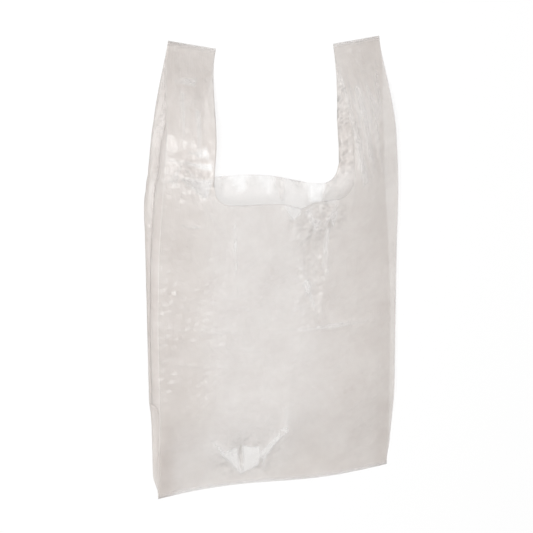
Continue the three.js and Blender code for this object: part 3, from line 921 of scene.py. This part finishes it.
def build_weld(bag, name, across, along, material):
    """A weld as a closed strip about all the layers. Its section is a flat rounded bar: the cosine of the way
    round, rooted so that its corners fill out, gives the place up the film, and the sine gives the height,
    which the jaws' teeth raise and lower in a zigzag along the strip."""
    steps = int((across[1] - across[0]) / CRIMP_STEP * WELD_CELLS_PER_TOOTH)
    x = np.linspace(across[0], across[1], steps + 1)[:, None] + np.zeros(WELD_SIDES)
    turn = np.linspace(0, 2 * np.pi, WELD_SIDES, endpoint=False) + np.zeros((steps + 1, 1))
    squared = np.sign(np.cos(turn)) * np.sqrt(np.abs(np.cos(turn)))
    v = (along[0] + along[1]) / 2 + (along[1] - along[0]) / 2 * squared
    half_height = (3 * bag.pitch + bag.film) / 2 + CRIMP_HEIGHT
    z = half_height + (half_height + CRIMP_HEIGHT * zigzag(x / CRIMP_STEP)) * np.sin(turn)
    across_bag, up_bag = bag.in_plan(x, v)
    points = np.stack([across_bag, up_bag, np.maximum(z, 0)], -1) + bag.shift
    numbers = np.arange(x.size).reshape(x.shape)
    following = np.roll(numbers, -1, 1)
    wall = np.stack([numbers[:-1], numbers[1:], following[1:], following[:-1]], -1).reshape(-1, 4)
    ends = [numbers[0].tolist(), numbers[-1][::-1].tolist()]
    piece = new_object(name, points.reshape(-1, 3), wall.tolist() + ends)
    piece.data.materials.append(material)
    return piece


def add_node(tree, kind, inputs=(), output=0, **settings):
    """A node of a kind with its settings, and each named input set to a value or linked to a socket. It gives
    back the socket of the wanted output."""
    node = tree.nodes.new("ShaderNode" + kind)
    for name, value in settings.items():
        setattr(node, name, value)
    for name, value in dict(inputs).items():
        if isinstance(value, bpy.types.NodeSocket):
            tree.links.new(value, node.inputs[name])
        else:
            node.inputs[name].default_value = value
    return node.outputs[output] if node.outputs else None


def calc(tree, operation, *values):
    """One step of arithmetic on numbers or sockets."""
    return add_node(tree, "Math", dict(enumerate(values)), operation=operation)


def noise(tree, place, size, detail=2.0):
    """A soft random pattern with blotches of a size in metres."""
    inputs = {"Vector": place, "Scale": 1 / size, "Detail": detail}
    return add_node(tree, "TexNoise", inputs, "Fac")


def ranged(tree, value, start=(0.0, 1.0), end=(0.0, 1.0)):
    """A value carried over from one range to another, and held within it."""
    limits = dict(zip(("From Min", "From Max", "To Min", "To Max"), (*start, *end)))
    return add_node(tree, "MapRange", {"Value": value, **limits})


def tinted(tree, part, low, high):
    """A colour between two colours."""
    return add_node(tree, "Mix", {0: part, 6: low, 7: high}, 2, data_type="RGBA")


def covered(tree, part, under, over):
    return add_node(tree, "MixShader", {0: part, 1: under, 2: over})


def new_material(name):
    material = bpy.data.materials.new(name)
    material.use_nodes = True
    material.node_tree.nodes.clear()
    return material, material.node_tree


def wrinkle_waves(tree, place):
    """The height in metres of several straight waves laid over each other, each with flat flanks and sharp
    crests, running its own way and pushed sideways by a slow noise."""
    bend = noise(tree, place, WAVE_BEND_SIZE, FINE_DETAIL)
    total = 0.0
    for way, period in WRINKLE_WAVES:
        turned = add_node(tree, "Mapping", {
            "Vector": place, "Rotation": (0.0, 0.0, math.radians(way)), "Scale": (1 / period,) * 3,
        })
        across = add_node(tree, "SeparateXYZ", {0: turned})
        wave = calc(tree, "PINGPONG", calc(tree, "MULTIPLY_ADD", bend, WAVE_BEND, across), 0.5)
        total = calc(tree, "MULTIPLY_ADD", wave, period * WAVE_SLOPE, total)
    return total


def film_cover(tree, look, depth, mottle):
    """The share of the light that a skin stops where it is depth films deep: 1 less what each film lets
    through, taken to the power of depth."""
    uneven = ranged(tree, mottle, NOISE_RANGE, (1 - MOTTLE_DENSITY, 1 + MOTTLE_DENSITY))
    passed = calc(tree, "POWER", 1 - look.film_cover, calc(tree, "MULTIPLY", depth, uneven))
    return calc(tree, "SUBTRACT", 1.0, passed)


def film_material(look):
    """Blown high-density polyethylene film, milky with a little white pigment: it lets much of the light
    through, so each layer behind another darkens it. The blowing leaves it faintly cloudy and streaked up its
    length, handling leaves a fine crackle of small flat facets with a soft gloss, and a hard fold whitens
    it. The same white is painted on crease ridges and facets as painted highlights, and the films' depth that
    it reads carries painted shade in crease valleys and shaded facets."""
    material, tree = new_material("blown_film")
    place = add_node(tree, "Attribute", (), "Vector", attribute_name="flat_place")
    whitened_and_highlit, crackle, depth = (
        add_node(tree, "Attribute", (), "Fac", attribute_name=name)
        for name in ("whitened_and_highlit", "crackle", "films_deep")
    )
    cloud = noise(tree, place, CLOUD_SIZE)
    mottle = noise(tree, place, MOTTLE_SIZE, FINE_DETAIL)
    drawn = add_node(tree, "Mapping", {"Vector": place, "Scale": (1.0, STREAK_STRETCH, 1.0)})
    streak = noise(tree, drawn, STREAK_SIZE)
    shade = ranged(tree, add_node(tree, "Mix", {0: MOTTLE_SHARE, 2: cloud, 3: mottle}), NOISE_RANGE)
    melt = tinted(tree, shade, (*look.film_colour_low, 1), (*look.film_colour_high, 1))
    # Whitening of hard folds, and painted highlights on ridges and facets
    colour = tinted(tree, whitened_and_highlit, melt, (*look.crease_and_highlight_colour, 1))
    dents = calc(tree, "MULTIPLY", wrinkle_waves(tree, place), crackle)
    height = calc(tree, "MULTIPLY_ADD", streak, STREAK_HEIGHT, dents)
    bump = add_node(tree, "Bump", {"Height": height, "Distance": 1.0, "Strength": 1.0})
    spread = (look.film_roughness - ROUGHNESS_SPREAD, look.film_roughness + ROUGHNESS_SPREAD)
    skin = add_node(tree, "BsdfPrincipled", {
        "Base Color": colour, "Roughness": ranged(tree, cloud, end=spread), "IOR": FILM_IOR, "Normal": bump,
    })
    glow = add_node(tree, "BsdfTranslucent", {"Color": colour, "Normal": bump})
    body = covered(tree, look.film_glow, skin, glow)
    cover = film_cover(tree, look, depth, mottle)
    film = covered(tree, cover, add_node(tree, "BsdfTransparent"), body)
    shine = add_node(tree, "BsdfGlossy", {"Roughness": look.film_roughness, "Normal": bump})
    mirror = calc(tree, "MULTIPLY", calc(tree, "MINIMUM", depth, 1.0), look.film_shine)
    add_node(tree, "OutputMaterial", {"Surface": covered(tree, mirror, film, shine)})
    return material


def weld_material(look, name, cover):
    """The same film, pressed hot between toothed jaws: its layers are one, a little clearer and glossier,
    with the dots of the jaws in it."""
    material, tree = new_material(name)
    place = add_node(tree, "TexCoord", (), "Object")
    dots = add_node(tree, "TexVoronoi", {
        "Vector": place, "Scale": 1 / DOT_SIZE, "Randomness": DOT_SCATTER,
    }, "Distance")
    shade = ranged(tree, dots, DOT_RANGE)
    skin = add_node(tree, "BsdfPrincipled", {
        "Base Color": tinted(tree, shade, (*look.weld_colour, 1), (*look.film_colour_high, 1)),
        "Alpha": ranged(tree, shade, end=[share * cover for share in DOT_COVER]),
        "Normal": add_node(tree, "Bump", {"Height": dots, "Distance": CRIMP_HEIGHT * MM}),
        "Roughness": look.film_roughness, "IOR": FILM_IOR,
    })
    add_node(tree, "OutputMaterial", {"Surface": skin})
    return material


def floor_material(look):
    """Matt white studio paper with a fine grain. Part of what the eye sees of it is its own even white, and
    the rest is lit, so that it stays pale and still takes the bag's soft shadow."""
    material, tree = new_material("matt_studio_paper")
    grain = noise(tree, add_node(tree, "TexCoord", (), "Object"), PAPER_GRAIN)
    paper = add_node(tree, "BsdfDiffuse", {"Color": tinted(tree, grain, *PAPER_COLOURS)})
    white = add_node(tree, "Emission", {"Color": linear("#FFFFFF"), "Strength": 1.0})
    share = calc(tree, "MULTIPLY", seen_directly(tree), look.floor_evenness)
    add_node(tree, "OutputMaterial", {"Surface": covered(tree, share, paper, white)})
    return material


def seen_directly(tree):
    """1 where the camera, a reflection or a view through something clear sees the surface, or else 0."""
    camera, mirrored, through = (
        add_node(tree, "LightPath", (), name)
        for name in ("Is Camera Ray", "Is Glossy Ray", "Is Transmission Ray")
    )
    return calc(tree, "MAXIMUM", calc(tree, "MAXIMUM", camera, mirrored), through)


def set_world(look):
    """A white room: white where it is seen, and dimmer as a light."""
    world = bpy.data.worlds.new("white_room")
    world.use_nodes = True
    tree = world.node_tree
    tree.nodes.clear()
    strength = ranged(tree, seen_directly(tree), end=(look.room_light, 1.0))
    back = add_node(tree, "Background", {"Color": linear("#FFFFFF"), "Strength": strength})
    add_node(tree, "OutputWorld", {"Surface": back})
    bpy.context.scene.world = world


def linked(name, data):
    piece = bpy.data.objects.new(name, data)
    bpy.context.scene.collection.objects.link(piece)
    return piece


def add_lamp(name, place, size, watts):
    """A square soft lamp that faces the middle of the bag."""
    data = bpy.data.lights.new(name, "AREA")
    data.size, data.energy = size, watts
    lamp = linked(name, data)
    lamp.location = place
    lamp.rotation_euler = (-Vector(place)).to_track_quat("-Z", "Y").to_euler()


def add_camera():
    """The camera looks along a line turned about the bag's length and dropped towards its foot, from a
    distance, with its long side level but for a small roll."""
    data = bpy.data.cameras.new("photo_camera")
    data.lens = VIEW_LENS
    turn, drop, roll = (math.radians(a) for a in (VIEW_TURN, VIEW_DROP, VIEW_ROLL))
    out = Vector((-math.sin(turn) * math.cos(drop), math.sin(drop), math.cos(turn) * math.cos(drop)))
    up = (Vector((0, 1, 0)) - out * out.y).normalized()
    right = up.cross(out)
    turned = Matrix((right, up, out)).transposed() @ Matrix.Rotation(roll, 3, "Z")
    camera = linked("photo_camera", data)
    camera.location = Vector(VIEW_AIM) + out * VIEW_DISTANCE
    camera.rotation_euler = turned.to_euler()
    bpy.context.scene.camera = camera


def a_length(name, default, description, **more):
    return FloatProperty(name=name, default=default, description=description, unit="LENGTH", **more)


def a_share(name, default, description):
    return FloatProperty(name=name, default=default, description=description, subtype="FACTOR")


def a_colour(name, default, description):
    start = linear(default)[:3]
    return FloatVectorProperty(name=name, default=start, description=description, subtype="COLOR")


class BagSizes(PropertyGroup):
    front_width: a_length("Front width", 0.290, "Width of the folded bag")
    gusset_depth: a_length("Gusset depth", 0.080, "How far each side is folded in")
    bag_length: a_length("Length", 0.540, "From the bottom edge to the handles' tops")
    handle_width: a_length("Handle width", 0.056, "Width of each handle lying flat")
    mouth_height: a_length("Mouth height", 0.390, "From the bottom edge to the mouth's edge")
    mouth_corner_radius: a_length("Mouth corner radius", 0.020, "Where the mouth turns up into a handle")
    weld_width: a_length("Weld width", 0.006, "Depth of the welded bands")
    film_thickness: a_length("Film thickness", 0.00012, "Thickness that the film is drawn at", precision=5)


class BagLook(PropertyGroup):
    film_colour_low: a_colour("Film, darker", "#E5DFDB", "Where the film is thin and grey")
    film_colour_high: a_colour("Film, lighter", "#F1EDEA", "Where the film is cloudy")
    # Also the colour of the painted highlights on ridges and facets
    crease_and_highlight_colour: a_colour("Crease", "#FDFCFB", "Where a hard fold has whitened the film")
    weld_colour: a_colour("Weld dots", "#CFC4BF", "The dots that the jaws press")
    film_cover: a_share("Film cover", 0.23, "Share of the light that one skin of the film stops")
    weld_cover: a_share("Weld cover", 0.06, "Share of the light that one skin of a weld stops")
    crimp_cover: a_share("Crimp cover", 0.16, "The same at the tops of the handles, on average")
    film_glow: a_share("Film glow", 0.35, "Share of the stopped light that comes out behind")
    film_shine: a_share("Film shine", 0.009, "Share of the light that the film's surface mirrors")
    film_roughness: a_share("Film roughness", 0.3, "How soft the film's gloss is")
    floor_evenness: a_share("Floor evenness", 0.75, "Share of the floor that is its own even white")
    room_light: FloatProperty(
        name="Room light", default=0.5, description="How much the white room lights the bag")


class CARRIER_BAG_OT_add_bag(Operator):
    """Builds the film and its three welds"""

    bl_idname = "carrier_bag.add_bag"
    bl_label = "Add the bag"

    def execute(self, context):
        sizes, look = context.scene.carrier_bag_sizes, context.scene.carrier_bag_look
        bag, film = build_film(sizes, look)
        plain = weld_material(look, "hot_pressed_weld", look.weld_cover)
        crimped = weld_material(look, "crimped_handle_weld", look.crimp_cover)
        outside = bag.half + bag.pitch / 2 + bag.film
        top = (bag.top, bag.length)
        welds = [
            build_weld(bag, "bottom_weld", (-outside, outside), (0, bag.weld), plain),
            build_weld(bag, "left_handle_weld", (-outside, -bag.edge), top, crimped),
            build_weld(bag, "right_handle_weld", (bag.edge, outside), top, crimped),
        ]
        for piece in (film, *welds):
            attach(piece, "root")
            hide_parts(NODE)
        return {"FINISHED"}


class CARRIER_BAG_OT_set_stage(Operator):
    """Adds the pale floor, the soft lamps, the white room and the camera"""

    bl_idname = "carrier_bag.set_stage"
    bl_label = "Set the stage"

    def execute(self, context):
        look = context.scene.carrier_bag_look
        reach = FLOOR_SIZE / 2 / MM
        corners = np.array([(-reach, -reach, 0), (reach, -reach, 0), (reach, reach, 0), (-reach, reach, 0)])
        floor = new_object("floor", corners, [[0, 1, 2, 3]])
        floor.data.materials.append(floor_material(look))
        set_world(look)
        for name, lamp in LAMPS.items():
            add_lamp(name, *lamp)
        add_camera()
        context.scene.view_settings.view_transform = "Standard"
        context.scene.cycles.transparent_max_bounces = CLEAR_LAYERS
        return {"FINISHED"}


class CARRIER_BAG_PT_panel(Panel):
    """Sizes and looks of the bag, and the steps that build it"""

    bl_idname = "CARRIER_BAG_PT_panel"
    bl_label = "Carrier bag"
    bl_space_type = "VIEW_3D"
    bl_region_type = "UI"
    bl_category = "Carrier bag"

    def draw(self, context):
        column = self.layout.column()
        for group in (context.scene.carrier_bag_sizes, context.scene.carrier_bag_look):
            for name in group.__annotations__:
                column.prop(group, name)
        for operator in OPERATORS:
            column.operator(operator.bl_idname)


OPERATORS = (CARRIER_BAG_OT_add_bag, CARRIER_BAG_OT_set_stage)
CLASSES = (BagSizes, BagLook, *OPERATORS, CARRIER_BAG_PT_panel)


def register():
    for each in CLASSES:
        bpy.utils.register_class(each)
    bpy.types.Scene.carrier_bag_sizes = PointerProperty(type=BagSizes)
    bpy.types.Scene.carrier_bag_look = PointerProperty(type=BagLook)


def unregister():
    del bpy.types.Scene.carrier_bag_sizes
    del bpy.types.Scene.carrier_bag_look
    for each in reversed(CLASSES):
        bpy.utils.unregister_class(each)


def main():
    register()
    bpy.ops.carrier_bag.add_bag()
    bpy.ops.carrier_bag.set_stage()


if __name__ == "__main__":
    main()
